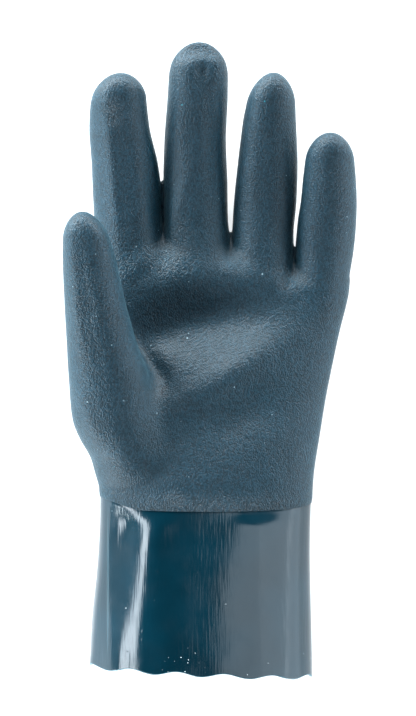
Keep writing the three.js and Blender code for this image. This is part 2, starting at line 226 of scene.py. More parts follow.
# How the surfaces of the hand run into each other
CROWN_START = 0.049  # where the palm's top edge begins to round off
CROWN_LENGTH = 0.007
ROOT_LENGTH = 0.010  # rounding of a finger's hidden root
FINGER_BLEND = 0.0008
PALM_BLEND = 0.0035
THUMB_BLEND = 0.0070
BENCH_BLEND = 0.0010
THUMB_BLEND_START = -0.060  # the thumb runs into the wrist from here
THUMB_BLEND_FULL = -0.045
LIP_FADE = 0.003  # over this length the wall goes from the lip's to the hand's
LIP_LOOPS = 3
LIP_BULGE = 0.6

# How the hand's surface is found
GRID_X = (-0.0660, 0.0670)
GRID_TOP = 0.1480
GRID_Z = (-0.0030, 0.0675)
GRID_LEVEL = (-0.010, 0.020)  # between these the grid's layers stop leaning with the coat's edge
LEAN_ROUNDS = 6
RELIEF_ROUNDS = 3
SETTLE_ROUNDS = 2
GRADIENT_STEP = 0.0001
LEAST_STEEPNESS = 0.05  # keeps the steps onto the surface short where the distance hardly changes

# Places of the finish. Each is a soft oval spot: a centre, a half size and a weight.
SPOT_CORE = 0.35  # a spot is even within this share of its size
ROUGH_SPOTS = [
    ((-0.042, 0.105, 0.034), (0.006, 0.010, 0.012), 1.0),
    ((-0.015, -0.058, 0.045), (0.006, 0.004, 0.012), 0.8),
]
# Single pits and pale specks, besides the scattered ones
PIT_SPOTS = [
    ((-0.0016, 0.0416, 0.028), (0.0006, 0.0006, 0.010), 1.0),
    ((-0.0147, 0.0314, 0.026), (0.0007, 0.0007, 0.010), 1.0),
    ((-0.0152, 0.0276, 0.026), (0.0006, 0.0006, 0.010), 1.0),
    ((0.0078, 0.0331, 0.026), (0.0006, 0.0006, 0.010), 1.0),
    ((-0.0079, 0.0212, 0.026), (0.0007, 0.0007, 0.010), 1.0),
    ((-0.0169, 0.0185, 0.026), (0.0006, 0.0006, 0.010), 1.0),
    ((-0.0007, 0.0149, 0.026), (0.0006, 0.0006, 0.010), 1.0),
    ((-0.0364, 0.0195, 0.030), (0.0006, 0.0006, 0.016), 1.0),
    ((-0.0160, -0.0565, 0.045), (0.0011, 0.0006, 0.010), 0.9),
    ((-0.0128, -0.0580, 0.045), (0.0008, 0.0006, 0.010), 0.8),
    ((-0.0185, -0.0590, 0.045), (0.0007, 0.0005, 0.010), 0.8),
]
PALE_SPOTS = [
    ((-0.0101, 0.0093, 0.028), (0.0005, 0.0005, 0.012), 0.8),
    ((0.0218, 0.0365, 0.028), (0.0005, 0.0005, 0.012), 0.8),
    ((-0.0519, -0.0176, 0.045), (0.0005, 0.0005, 0.016), 0.7),
    ((-0.0366, -0.0170, 0.045), (0.0005, 0.0005, 0.016), 0.7),
    ((-0.0228, -0.0225, 0.045), (0.0005, 0.0005, 0.016), 0.6),
]
# Painted shade: where the coat's colour is darkened to stand in for shade, under the palm's crest, between
# the fingers and down two of their sides
PAINTED_SHADE_SPOTS = [
    ((-0.0090, -0.0245, 0.026), (0.011, 0.007, 0.020), 0.6),
    ((0.0040, -0.0185, 0.026), (0.012, 0.007, 0.020), 0.8),
    ((0.0160, -0.0115, 0.026), (0.012, 0.007, 0.020), 0.8),
    ((-0.0205, 0.0440, 0.026), (0.006, 0.005, 0.020), 0.9),
    ((0.0090, 0.0410, 0.026), (0.005, 0.005, 0.020), 0.9),
    ((0.0345, 0.0330, 0.026), (0.004, 0.004, 0.020), 0.9),
    ((-0.0245, 0.0780, 0.025), (0.006, 0.034, 0.024), 1.0),
    ((0.0030, 0.0900, 0.028), (0.006, 0.036, 0.024), 0.9),
]
# Where the fine wrinkles show, on the palm and on the thumb
PALM_WRINKLES = [
    ((0.004, 0.000, 0.028), (0.040, 0.022, 0.030), 1.0),
    ((-0.008, 0.030, 0.026), (0.036, 0.013, 0.030), 0.7),
]
WAVY_WRINKLES = [
    ((-0.052, 0.020, 0.055), (0.009, 0.036, 0.020), 1.5),
]
# A painted highlight along the crease down the cuff's thumb side, and the dust caught near the hem
CREASE_HIGHLIGHT_SPOTS = [
    ((-0.0436, -0.0940, 0.036), (0.0007, 0.0440, 0.022), 1.0),
]
DUST_SPOTS = [
    ((-0.0105, -0.1275, 0.050), (0.012, 0.008, 0.010), 1.0),
]

# Specks strewn over a finish: the spacing of their places, their radius and the share of places that have one
SPECK_CORE = 0.5  # a speck is even within this share of its radius
PITS = {"Spacing": 0.0040, "Radius": 0.00045, "Share": 0.10}
PALE_SPECKS = {"Spacing": 0.0032, "Radius": 0.00030, "Share": 0.08}
TEAL_SPECKS = {"Spacing": 0.0070, "Radius": 0.00040, "Share": 0.10}
TEAL_SHIFT = (0.3, 0.2, 0.1)  # keeps the teal specks off the pale ones
COAT_BUMPS = {"Spacing": 0.0060, "Radius": 0.00060, "Share": 0.25}
DUST = {"Spacing": 0.0030, "Radius": 0.00026, "Share": 0.09}
CRUMBS = {"Spacing": 0.0014, "Radius": 0.00026, "Share": 0.42}
PIT_DEPTH = 0.00015
COAT_BUMP_HEIGHT = 0.00004

# Uneven places of the coats. Strands have a turn from +X in degrees, a length and a width.
PALM_STRANDS = (29, 0.0026, 0.0009)
WAVY_STRANDS = (75, 0.0030, 0.0013)
SWELL_SIZE = 0.006
SWELL_HEIGHT = 0.0003
GRAIN_STRETCH = 1.4  # the grain is this much longer than wide
GRAIN_PAINTED_LIGHT = (0.8, 1.2, 0.6, 1.4)  # the grain's lower and upper level, and the factor on the colour there: painted shade in its hollows, painted light on its tops
ROUGH_EDGE = (0.001, 0.009)  # the grain evens out between these heights above the coat's edge
DRIFT = (0.35, 0.65)  # levels of a noise between which a colour drifts from one shade to the other
MOTTLE_SIZE = 0.012
MOTTLE_SHADE = 0.88
PATCH_SIZE = 0.009
PATCH_LEVELS = (0.3, 0.7)
PATCH_RANGE = 0.03  # the grip coat's roughness is uneven by this much
RIB_LENGTH = 0.012
RIB_PATCHES = 0.020  # size of the places where the ribs show more and less
RIB_SHARES = (0.35, 0.6, 0.5, 1.0)  # levels of the noise there, and the share of the ribs' height at each
WOBBLE_STRANDS = (88, 0.014, 0.006)
TINT_SIZE = 0.025
TINT_LIGHT = 1.3
SMUDGE_SIZE = 0.010
SMUDGE_LEVELS = (0.4, 0.7)
SMUDGE_ROUGHNESS = 0.06
MARK_ROUGHNESS = 0.4

# Linear colours of the marks in the finishes, and how much each one covers
# painted shade: the dark colour laid under the palm's crest, between the fingers and down two finger sides
PAINTED_SHADE_COLOUR = (0.001, 0.018, 0.030, 1)
# the pits are real dents; their near-black colour is painted shade in them
PIT_SHADE_COLOUR = (0.001, 0.006, 0.012, 1)
PIT_SHADE_COVER = 0.7
PALE_COLOUR = (0.30, 0.42, 0.47, 1)
PALE_COVER = 0.55
TEAL_COLOUR = (0.02, 0.30, 0.38, 1)
TEAL_COVER = 0.6
DUST_COLOUR = (0.75, 0.80, 0.80, 1)
DUST_COVER = 0.5
# painted highlight: the pale line along the cuff's crease
CREASE_HIGHLIGHT_COLOUR = (0.30, 0.46, 0.52, 1)
CREASE_HIGHLIGHT_COVER = 0.045
CUT_COLOUR = (0.012, 0.110, 0.145, 1)
CUT_COVER = 0.8

# What is the same all over the grip coat
GRIP_SHADER = {
    "Specular IOR Level": 0.20,
    "Sheen Weight": 0.12,
    "Sheen Roughness": 0.36,
    "Sheen Tint": (0.40, 0.72, 0.85, 1),
}

# Lights: each is a name, the turn about Z from +X and the tilt from overhead in degrees, the size along the
# tilt and along the turn in metres, the radiance and the tint
LIGHT_TARGET = (0, 0, 0.02)
LIGHT_DISTANCE = 1.3
LIGHTS = [
    ("Left strip", 180, 52, (0.28, 1.0), 18.0, (0.84, 0.93, 1.0)),
    ("Left wall", 180, 80, (0.60, 1.0), 0.8, (0.84, 0.94, 1.0)),
    ("Upper left wall", 136, 84, (0.60, 1.3), 48.0, (0.84, 0.95, 1.0)),
    ("Lower left wall", 224, 84, (0.60, 1.3), 29.0, (0.84, 0.95, 1.0)),
    ("Right panel", -12, 17, (0.62, 0.45), 3.1, (0.80, 0.91, 1.0)),
    ("Right side", -8, 49, (0.90, 0.45), 3.7, (0.80, 0.91, 1.0)),
    ("Right wall", 0, 78, (0.60, 1.2), 3.9, (0.80, 0.91, 1.0)),
    ("Upper right wall", 44, 84, (0.60, 1.1), 22.0, (0.88, 0.96, 1.0)),
    ("Lower right wall", -44, 84, (0.60, 1.1), 18.0, (0.88, 0.96, 1.0)),
    ("Top wall", 90, 79, (0.6, 1.1), 18.0, (0.92, 0.97, 1.0)),
]

CAMERA_AT = (-0.00127, 0.00085, 1.525)
SENSOR = 36
FIELD_HEIGHT = 0.305  # what the picture's height takes in, at the field's level above the floor
FIELD_LEVEL = 0.025

FLOOR_HALF = 3.0
FLOOR_DROP = 0.0001  # the floor lies this far under the glove
FLOOR_COLOUR = (0.55, 0.55, 0.55, 1)
FLOOR_ROUGHNESS = 0.9
STUDIO_COLOUR = (0.9, 0.95, 1, 1)


def bell(distance):
    return np.exp(-distance**2)


def smoothstep(value, low, high):
    share = np.clip((value - low) / (high - low), 0, 1)
    return share * share * (3 - 2 * share)


def soft_min(a, b, reach):
    """The lower of two distances, rounded where they differ by less than reach."""
    near = np.maximum(reach - np.abs(a - b), 0) / np.maximum(reach, 1e-9)
    return np.minimum(a, b) - near * near * reach / 4


class Sections:
    """A table of sections across the glove, whose columns are smooth functions of y."""

    def __init__(self, columns, rows, tip=None):
        self.columns = columns.split()
        self.rows = np.array(rows)
        self.y = self.rows[:, 0]
        self.tip = tip
        last = len(rows) - 1
        before = np.clip(np.arange(len(rows)) - 1, 0, last)
        after = np.clip(np.arange(len(rows)) + 1, 0, last)
        rise = self.rows[after] - self.rows[before]
        self.slopes = rise / rise[:, :1]

    def at(self, name, y):
        column = self.columns.index(name)
        value, slope = self.rows[:, column], self.slopes[:, column]
        i = np.clip(np.searchsorted(self.y, y, side="right") - 1, 0, len(self.y) - 2)
        span = self.y[i + 1] - self.y[i]
        t = np.clip((y - self.y[i]) / span, 0, 1)
        curve = (
            value[i] * (2 * t**3 - 3 * t**2 + 1)
            + value[i + 1] * (3 * t**2 - 2 * t**3)
            + slope[i] * span * (t**3 - 2 * t**2 + t)
            + slope[i + 1] * span * (t**3 - t**2)
        )
        return curve + slope[i + 1] * np.maximum(0, y - self.y[i + 1])

    def place(self, y):
        """The middle (x, z) of the section at y, and its half width and half depth."""
        left, right, back, front = (self.at(side, y) for side in ("left", "right", "back", "front"))
        return (left + right) / 2, (back + front) / 2, (right - left) / 2, (front - back) / 2


TRUNK = Sections(TRUNK_COLUMNS, TRUNK_ROWS)
INDEX = Sections(LIMB_COLUMNS, INDEX_ROWS, tip=0.122)
MIDDLE = Sections(LIMB_COLUMNS, MIDDLE_ROWS, tip=0.135)
RING = Sections(LIMB_COLUMNS, RING_ROWS, tip=0.122)
LITTLE = Sections(LIMB_COLUMNS, LITTLE_ROWS, tip=0.0965)
THUMB = Sections(LIMB_COLUMNS, THUMB_ROWS, tip=0.062)


def relief(table, x, y):
    """Height of a table's mounds and dents at x, y."""
    height = np.zeros(np.broadcast(x, y).shape)
    for at_x, at_y, turn, long, wide, rise in table:
        cos, sin = math.cos(math.radians(turn)), math.sin(math.radians(turn))
        along = (x - at_x) * cos + (y - at_y) * sin
        across = (y - at_y) * cos - (x - at_x) * sin
        height += rise * bell(np.hypot(along / long, across / wide))
    return height


def without_relief(raised, z, middle, half_depth):
    """The height that a point of the front would have without the relief that raised it."""
    flat = z
    for _ in range(RELIEF_ROUNDS):
        flat = z - raised * smoothstep(flat, middle, middle + half_depth)
    return flat


def lean(x, station, z):
    """How far a point of a palm section lies along Y from that section's station."""
    near_edge = bell((station - COAT_EDGE) / EDGE_REACH)
    climb = COAT_TILT * (WRIST_FRONT - z) + SIDE_CLIMB * smoothstep(-x, CLIMB_FROM, CLIMB_TO)
    near_webs = smoothstep(station, WEB_BASE, PALM_TOP)
    fall = WEB_FALL * np.clip(x - WEB_START, 0, WEB_SPAN) ** 2
    return climb * near_edge - fall * near_webs


def station_of(x, y, z):
    """The station of the palm section that a point belongs to."""
    station = y
    for _ in range(LEAN_ROUNDS):
        station = y - lean(x, station, z)
    return station


def section_distance(across, deep, square, half_width, half_depth, end, end_length):
    """Distance from a rounded section. End is how far a point lies into its rounded end, in its length."""
    u = np.abs(across) / half_width
    w = np.abs(deep) / half_depth
    q = np.maximum(u**square + w**square, 1e-12) ** (1 / square)
    g = np.sqrt(q**2 + end**2)
    slope_u = u ** (square - 1) * q ** (2 - square) / half_width
    slope_w = w ** (square - 1) * q ** (2 - square) / half_depth
    slope = np.sqrt(slope_u**2 + slope_w**2 + (end / end_length) ** 2) / g
    return (g - 1) / np.maximum(slope, 1)


def limb_distance(limb, x, y, z, raised):
    middle_x, middle_z, half_width, half_depth = limb.place(np.minimum(y, limb.tip))
    flat = without_relief(raised, z, middle_z, half_depth)
    shoulder, root = limb.y[-1], limb.y[0]
    dome = limb.tip - shoulder
    tip_end = np.maximum(0, y - shoulder) / dome
    root_end = np.maximum(0, root - y) / ROOT_LENGTH
    return section_distance(
        x - middle_x,
        flat - middle_z,
        FINGER_SQUARE,
        half_width,
        half_depth,
        tip_end + root_end,
        np.where(y > shoulder, dome, ROOT_LENGTH),
    )


def palm_distance(x, y, z, raised):
    station = station_of(x, y, z)
    within = np.minimum(station, PALM_TOP)
    middle_x, middle_z, half_width, half_depth = TRUNK.place(within)
    flat = without_relief(raised, z, middle_z, half_depth)
    return section_distance(
        x - middle_x,
        flat - middle_z,
        TRUNK.at("square", within),
        half_width + COAT_STEP,
        half_depth + COAT_STEP,
        np.maximum(0, station - CROWN_START) / CROWN_LENGTH,
        CROWN_LENGTH,
    )


def hand_distance(points):
    """Distance of points from the outside of the grip coat, below zero inside."""
    x, y, z = points[..., 0], points[..., 1], points[..., 2]
    raised = relief(PALM_RELIEF + FINGER_RELIEF, x, y)
    fingers = limb_distance(INDEX, x, y, z, raised)
    for limb in (MIDDLE, RING, LITTLE):
        fingers = soft_min(fingers, limb_distance(limb, x, y, z, raised), FINGER_BLEND)
    body = soft_min(palm_distance(x, y, z, raised), fingers, PALM_BLEND)
    thumb_reach = THUMB_BLEND * smoothstep(y, THUMB_BLEND_START, THUMB_BLEND_FULL)
    thumb = limb_distance(THUMB, x, y, z, relief(THUMB_RELIEF, x, y))
    body = soft_min(body, thumb, thumb_reach)
    return -soft_min(-body, z, BENCH_BLEND)


def gradient(points):
    """Slope of the hand's distance at points."""
    slopes = []
    for axis in range(3):
        step = np.zeros(3)
        step[axis] = GRADIENT_STEP
        rise = hand_distance(points + step) - hand_distance(points - step)
        slopes.append(rise / (2 * GRADIENT_STEP))
    return np.stack(slopes, axis=-1)


def edge_point(points):
    """Points moved along Y onto the coat's edge."""
    moved = points.copy()
    moved[:, 1] = COAT_EDGE + lean(points[:, 0], COAT_EDGE, points[:, 2])
    return moved


def settle(points, on_edge, rounds):
    """Points brought onto the hand's surface, those on the coat's edge along that edge."""
    for _ in range(rounds):
        slope = gradient(points)
        slope[on_edge, 1] = 0
        steepness = np.maximum((slope**2).sum(1), LEAST_STEEPNESS)
        points = points - slope * (hand_distance(points) / steepness)[:, None]
        points[on_edge] = edge_point(points[on_edge])
    return points


def edge_crossings(points, field, axis):
    """Which of a grid's edges along an axis the field's zero surface crosses, and where."""
    low = tuple(slice(0, -1) if a == axis else slice(None) for a in range(3))
    high = tuple(slice(1, None) if a == axis else slice(None) for a in range(3))
    crosses = (field[low] < 0) != (field[high] < 0)
    gap = np.where(crosses, field[low] - field[high], 1)
    share = np.where(crosses, field[low] / gap, 0)[..., None]
    return crosses, (points[low] + share * (points[high] - points[low])) * crosses[..., None]


def edges_of_cells(cells, axis):
    """Slices that take each of the four edges along an axis of every cell in turn."""
    others = [a for a in range(3) if a != axis]
    for offsets in ((0, 0), (0, 1), (1, 0), (1, 1)):
        part = [slice(None)] * 3
        for a, offset in zip(others, offsets):
            part[a] = slice(offset, offset + cells[a])
        yield tuple(part)


def quads_across(crosses, inside, number, axis):
    """Quads across the crossed edges along an axis, of the numbered cells round each edge, facing out."""
    second, third = (axis + 1) % 3, (axis + 2) % 3
    edges = np.argwhere(crosses)
    interior = (edges[:, second] > 0) & (edges[:, third] > 0)
    interior &= (edges[:, second] < number.shape[second]) & (edges[:, third] < number.shape[third])
    edges = edges[interior]
    corners = []
    for back_second, back_third in ((1, 1), (0, 1), (0, 0), (1, 0)):
        cell = edges.copy()
        cell[:, second] -= back_second
        cell[:, third] -= back_third
        corners.append(number[tuple(cell.T)])
    faces = np.stack(corners, axis=1)
    turned = ~inside[tuple(edges.T)]
    faces[turned] = faces[turned][:, ::-1]
    return faces


def surface_net(points, field):
    """Vertices and quads of the zero surface of a field on a grid of points, and each vertex's cell."""
    cells = np.array(field.shape) - 1
    total = np.zeros((*cells, 3))
    count = np.zeros(cells)
    crossings = []
    for axis in range(3):
        crosses, at = edge_crossings(points, field, axis)
        crossings.append(crosses)
        for part in edges_of_cells(cells, axis):
            total += at[part]
            count += crosses[part]
    active = count > 0
    number = np.full(cells, -1)
    number[active] = np.arange(active.sum())
    vertices = total[active] / count[active][:, None]
    quads = [quads_across(crosses, field < 0, number, axis) for axis, crosses in enumerate(crossings)]
    return vertices, np.concatenate(quads), np.argwhere(active)


def sides_of(quads):
    """The four sides of every quad, each as its two ends in the quad's order."""
    return np.concatenate([quads[:, (k, (k + 1) % 4)] for k in range(4)])


def relax(points, quads, on_edge, rounds):
    """Points evened out over the surface, so that its quads are alike."""
    pairs = np.unique(np.sort(sides_of(quads), axis=1), axis=0)
    along = on_edge[pairs].all(1)
    free = ~on_edge[pairs].any(1)
    for _ in range(rounds):
        total = np.zeros_like(points)
        count = np.zeros(len(points))
        for a, b in ((0, 1), (1, 0)):
            mine, other = pairs[:, a], pairs[:, b]
            used = free | along | ~on_edge[mine]
            np.add.at(total, mine[used], points[other[used]])
            np.add.at(count, mine[used], 1)
        mean = total / np.maximum(count, 1)[:, None]
        points = settle((points + mean) / 2, on_edge, 1)
    return points


def grid_points(step):
    """A grid over the hand whose layers lie along the palm's sections, the first on the coat's edge."""
    x = np.arange(*GRID_X, step)
    station = np.arange(COAT_EDGE, GRID_TOP, step)
    z = np.arange(*GRID_Z, step)
    grid = np.stack(np.meshgrid(x, station, z, indexing="ij"), axis=-1)
    fade = 1 - smoothstep(grid[..., 1], *GRID_LEVEL)
    grid[..., 1] += lean(grid[..., 0], grid[..., 1], grid[..., 2]) * fade
    return grid


def wall_thickness(above):
    """Thickness of the hand's wall at heights above the coat's edge."""
    near_lip = 1 - smoothstep(above, TUCK_LENGTH, TUCK_LENGTH + LIP_FADE)
    seat = 1 - smoothstep(above, 0, SEAT_RISE)
    return HAND_WALL + (LIP_WALL - HAND_WALL) * near_lip + (EDGE_WALL - LIP_WALL) * seat


def close_lip(points, inside, normal, quads):
    """Vertices and faces of a wall between two skins of quads, with a rounded lip where they end."""
    sides = sides_of(quads)
    _, first, count = np.unique(np.sort(sides, axis=1), axis=0, return_index=True, return_counts=True)
    rim = sides[first[count == 1]]
    ring = np.unique(rim)
    middle = (points[ring] + inside[ring]) / 2
    radius = (EDGE_WALL - LIP_TAPER) / 2
    vertices = [points, inside]
    loops = [ring]
    for k in range(LIP_LOOPS):
        angle = math.pi * (k + 1) / (LIP_LOOPS + 1)
        bulge = middle + normal[ring] * math.cos(angle) * radius
        bulge[:, 1] -= math.sin(angle) * radius * LIP_BULGE
        vertices.append(bulge)
        loops.append(2 * len(points) + k * len(ring) + np.arange(len(ring)))
    loops.append(ring + len(points))
    faces = [quads, quads[:, ::-1] + len(points)]
    a, b = np.searchsorted(ring, rim).T
    for upper, lower in zip(loops, loops[1:]):
        faces.append(np.stack([upper[b], upper[a], lower[a], lower[b]], axis=1))
    return np.concatenate(vertices), np.concatenate(faces)


def hand_shell(settings):
    """Vertices and faces of the hand's closed wall, and each vertex's height above the coat's edge."""
    grid = grid_points(settings.mesh_step)
    points, quads, cells = surface_net(grid, hand_distance(grid))
    on_edge = cells[:, 1] == 0
    points[on_edge] = edge_point(points[on_edge])
    points = settle(points, on_edge, SETTLE_ROUNDS)
    points = relax(points, quads, on_edge, settings.relax_rounds)
    points = settle(points, on_edge, SETTLE_ROUNDS)
    above = station_of(points[:, 0], points[:, 1], points[:, 2]) - COAT_EDGE
    normal = gradient(points)
    normal[:, 1] *= smoothstep(above, 0, TUCK_LENGTH)
    normal /= np.linalg.norm(normal, axis=1)[:, None]
    wall = wall_thickness(above)
    inside = points - normal * wall[:, None]
    inside[:, 2] = np.maximum(inside[:, 2], wall)
    points[on_edge] -= normal[on_edge] * LIP_TAPER
    vertices, faces = close_lip(points, inside, normal, quads)
    lip = np.zeros(len(vertices) - 2 * len(points))
    return vertices, faces, np.concatenate([above, above, lip])


def new_mesh(name, vertices, faces):
    """An object with a smooth mesh of these vertices and faces, in place over the origin."""
    mesh = bpy.data.meshes.new(name)
    shifted = vertices + (CENTRE_SHIFT, 0, 0)
    mesh.from_pydata(shifted.tolist(), [], faces.tolist())
    mesh.validate()
    mesh.polygons.foreach_set("use_smooth", np.ones(len(mesh.polygons), bool))
    piece = bpy.data.objects.new(name, mesh)
    bpy.context.scene.collection.objects.link(piece)
    return piece


def add_attribute(piece, name, values):
    layer = piece.data.attributes.new(name, "FLOAT", "POINT")
    layer.data.foreach_set("value", np.asarray(values, np.float32))


def even_ring(loops, count):
    """Points spaced evenly along each closed loop of points, starting at its first."""
    closed = np.concatenate([loops, loops[:, :1]], axis=1)
    lengths = np.linalg.norm(np.diff(closed, axis=1), axis=2)
    lengths = np.concatenate([np.zeros((len(loops), 1)), np.cumsum(lengths, axis=1)], axis=1)
    rings = []
    for loop, length in zip(closed, lengths):
        wanted = np.linspace(0, length[-1], count, endpoint=False)
        rings.append(np.stack([np.interp(wanted, length, loop[:, a]) for a in range(3)], axis=1))
    return np.array(rings)


def plain_rings(stations, insets, sides):
    """Even rings of the trunk's sections at the stations, each drawn in by its inset."""
    angle = np.linspace(0, 2 * math.pi, RING_DETAIL * sides, endpoint=False)
    middle_x, middle_z, half_width, half_depth = (v[:, None] for v in TRUNK.place(stations))
    square = TRUNK.at("square", stations)[:, None]
    inset = insets[:, None]

    def swell(value):
        return np.sign(value) * np.abs(value) ** (2 / square)

    x = middle_x + (half_width - inset) * swell(np.cos(angle)[None])
    z = middle_z + (half_depth - inset) * swell(np.sin(angle)[None])
    station = np.repeat(stations[:, None], len(angle), axis=1)
    return even_ring(np.stack([x, station, z], axis=2), sides)


def fold_height(down, sides):
    """Height of the cuff's folds round rings that lie a share of the way down to the hem."""
    place = np.linspace(0, 360, sides, endpoint=False)[None]
    height = np.zeros((len(down), sides))
    for at, drift, wide, rise in CUFF_FOLDS:
        height += rise * bell((place - at - drift * down) / wide)
    return height * down**FOLD_GROWTH


def cuff_rings(stations, insets, sides):
    """Rings of the cuff at the stations, drawn in by their insets, with its folds, sunken side and dents."""
    rings = plain_rings(stations, insets, sides)
    middle_x, middle_z, half_width, half_depth = (v[:, None] for v in TRUNK.place(stations))
    rings[..., 1] += lean(rings[..., 0], stations[:, None], rings[..., 2])
    down = np.clip((COAT_EDGE - stations) / (COAT_EDGE - HEM), 0, 1)[:, None]
    height = fold_height(down, sides)
    outward = np.stack([rings[..., 0] - middle_x, np.zeros_like(height), rings[..., 2] - middle_z], axis=2)
    outward /= np.linalg.norm(outward, axis=2)[..., None]
    rings += outward * height[..., None]
    aside = (middle_x - rings[..., 0]) / half_width
    rings[..., 2] -= CUFF_SAG * smoothstep(aside, SAG_START, 1) * down**FOLD_GROWTH
    front = smoothstep(rings[..., 2], middle_z, middle_z + half_depth / 2)
    clear = smoothstep(COAT_EDGE - stations, 0, DENT_START)[:, None]
    rings[..., 2] += relief(CUFF_RELIEF, rings[..., 0], rings[..., 1]) * front * clear
    return rings


def cuff_shell(settings):
    """Vertices and faces of the cuff's closed wall, and values at the vertices.

    They are the place round it, the share of the hem's waves and whether it lies on the cut edge.
    """
    sides = settings.sides
    top = np.linspace(COAT_EDGE + TUCK_LENGTH, COAT_EDGE + SEAT_RISE, TUCK_ROWS)
    rise = np.linspace(COAT_EDGE + SEAT_RISE, COAT_EDGE, RISE_ROWS)[1:]
    body = np.append(np.linspace(COAT_EDGE, HEM + HEM_ROW, settings.rows)[1:], HEM)
    stations = np.concatenate([top, rise, body])
    drawn_in = TUCK * smoothstep(stations, COAT_EDGE, COAT_EDGE + SEAT_RISE)
    outer = cuff_rings(stations, drawn_in, sides)
    inner = cuff_rings(stations, drawn_in + CUFF_WALL, sides)
    outer[..., 2] = np.maximum(outer[..., 2], 0)
    inner[..., 2] = np.maximum(inner[..., 2], CUFF_WALL)
    rings = np.concatenate([outer, inner[::-1]])
    share = smoothstep(-stations, -HEM - HEM_REACH, -HEM)
    share = np.concatenate([share, share[::-1]])
    count = len(rings)
    r, k = np.meshgrid(np.arange(count), np.arange(sides), indexing="ij")
    next_r, next_k = (r + 1) % count, (k + 1) % sides
    faces = np.stack([r * sides + k, r * sides + next_k, next_r * sides + next_k, next_r * sides + k], axis=2)
    around = np.tile(np.arange(sides) / sides, count)
    cut = np.zeros(count)
    cut[len(stations) - 1 : len(stations) + 1] = 1
    attributes = {"around": around, "hem_share": np.repeat(share, sides), "cut_edge": np.repeat(cut, sides)}
    return rings.reshape(-1, 3), faces.reshape(-1, 4), attributes


class Graph:
    """A node tree, filled in short calls whose values are numbers, tuples or other nodes' outputs."""

    def __init__(self, tree):
        self.tree = tree

    def fill(self, socket, value):
        if isinstance(value, bpy.types.NodeSocket):
            self.tree.links.new(value, socket)
        else:
            socket.default_value = value

    def node(self, kind, inputs, **settings):
        node = self.tree.nodes.new(kind)
        for name, value in settings.items():
            setattr(node, name, value)
        for key, value in inputs.items():
            self.fill(node.inputs[key], value)
        return node

    def maths(self, operation, *values):
        return self.node("ShaderNodeMath", dict(enumerate(values)), operation=operation).outputs[0]

    def total(self, *values):
        result = values[0]
        for value in values[1:]:
            result = self.maths("ADD", result, value)
        return result

    def product(self, *values):
        result = values[0]
        for value in values[1:]:
            result = self.maths("MULTIPLY", result, value)
        return result

    def vector(self, operation, *values):
        return self.node("ShaderNodeVectorMath", dict(enumerate(values)), operation=operation).outputs[0]

    def scaled(self, vector, factor):
        return self.node("ShaderNodeVectorMath", {0: vector, 3: factor}, operation="SCALE").outputs[0]

    def length(self, vector):
        return self.node("ShaderNodeVectorMath", {0: vector}, operation="LENGTH").outputs["Value"]

    def noise(self, position, size, detail=2.0):
        """Noise of features of a size, from 0 to 1."""
        inputs = {"Vector": position, "Scale": 1 / size, "Detail": detail}
        return self.node("ShaderNodeTexNoise", inputs).outputs["Fac"]

    def ramp(self, value, low, high, start=0.0, end=1.0):
        """Start below low, end above high, and a smooth run between."""
        inputs = {"Value": value, "From Min": low, "From Max": high, "To Min": start, "To Max": end}
        return self.node("ShaderNodeMapRange", inputs, interpolation_type="SMOOTHSTEP").outputs[0]

    def mix(self, share, one, other):
        """One colour where the share is 0, and the other where it is 1."""
        return self.node("ShaderNodeMix", {0: share, 6: one, 7: other}, data_type="RGBA").outputs[2]

    def position(self):
        return self.node("ShaderNodeTexCoord", {}).outputs["Object"]

    def attribute(self, name):
        return self.node("ShaderNodeAttribute", {}, attribute_name=name).outputs["Fac"]

    def group(self, tree, inputs):
        node = self.node("ShaderNodeGroup", {}, node_tree=tree)
        for name, value in inputs.items():
            self.fill(node.inputs[name], value)
        return node.outputs[0]

    def bump(self, height):
        """Normal of a surface raised by a height in metres."""
        return self.node("ShaderNodeBump", {"Height": height, "Distance": 1.0, "Strength": 1.0}).outputs[0]


def named_value(graph, name):
    """Values of a mesh attribute in geometry nodes."""
    node = graph.node("GeometryNodeInputNamedAttribute", {"Name": name}, data_type="FLOAT")
    return node.outputs["Attribute"]


def hem_tree(material):
    """Geometry nodes that cut the hem in even waves, on a slant that climbs towards the thumb side."""
    tree = bpy.data.node_groups.new("Cut hem", "GeometryNodeTree")
    tree.interface.new_socket("Geometry", in_out="INPUT", socket_type="NodeSocketGeometry")
    for name in ("Waves", "Wave height", "Slant"):
        tree.interface.new_socket(name, in_out="INPUT", socket_type="NodeSocketFloat")
    tree.interface.new_socket("Geometry", in_out="OUTPUT", socket_type="NodeSocketGeometry")
    graph = Graph(tree)
    given = tree.nodes.new("NodeGroupInput").outputs

    turn = graph.product(named_value(graph, "around"), given["Waves"], 2 * math.pi)
    wave = graph.product(graph.maths("COSINE", turn), given["Wave height"])
    place = graph.node("GeometryNodeInputPosition", {}).outputs[0]
    across = graph.node("ShaderNodeSeparateXYZ", {0: place}).outputs["X"]
    slant = graph.product(across, given["Slant"])
    drop = graph.product(graph.total(wave, slant), named_value(graph, "hem_share"), -1.0)
    offset = graph.node("ShaderNodeCombineXYZ", {"Y": drop}).outputs[0]

    move = graph.node("GeometryNodeSetPosition", {"Geometry": given["Geometry"], "Offset": offset})
    plain_mesh = graph.node("GeometryNodeRealizeInstances", {0: move.outputs[0]}).outputs[0]
    dress = graph.node("GeometryNodeSetMaterial", {"Geometry": plain_mesh, "Material": material})
    graph.node("NodeGroupOutput", {0: dress.outputs[0]})
    return tree


def apply_tree(piece, tree, values):
    """A plain mesh of a piece after its geometry nodes, with their inputs set by name."""
    modifier = piece.modifiers.new(tree.name, "NODES")
    modifier.node_group = tree
    for item in tree.interface.items_tree:
        if item.in_out == "INPUT" and item.name in values:
            modifier[item.identifier] = values[item.name]
    evaluated = piece.evaluated_get(bpy.context.evaluated_depsgraph_get())
    mesh = bpy.data.meshes.new_from_object(evaluated)
    piece.modifiers.remove(modifier)
    piece.data = mesh


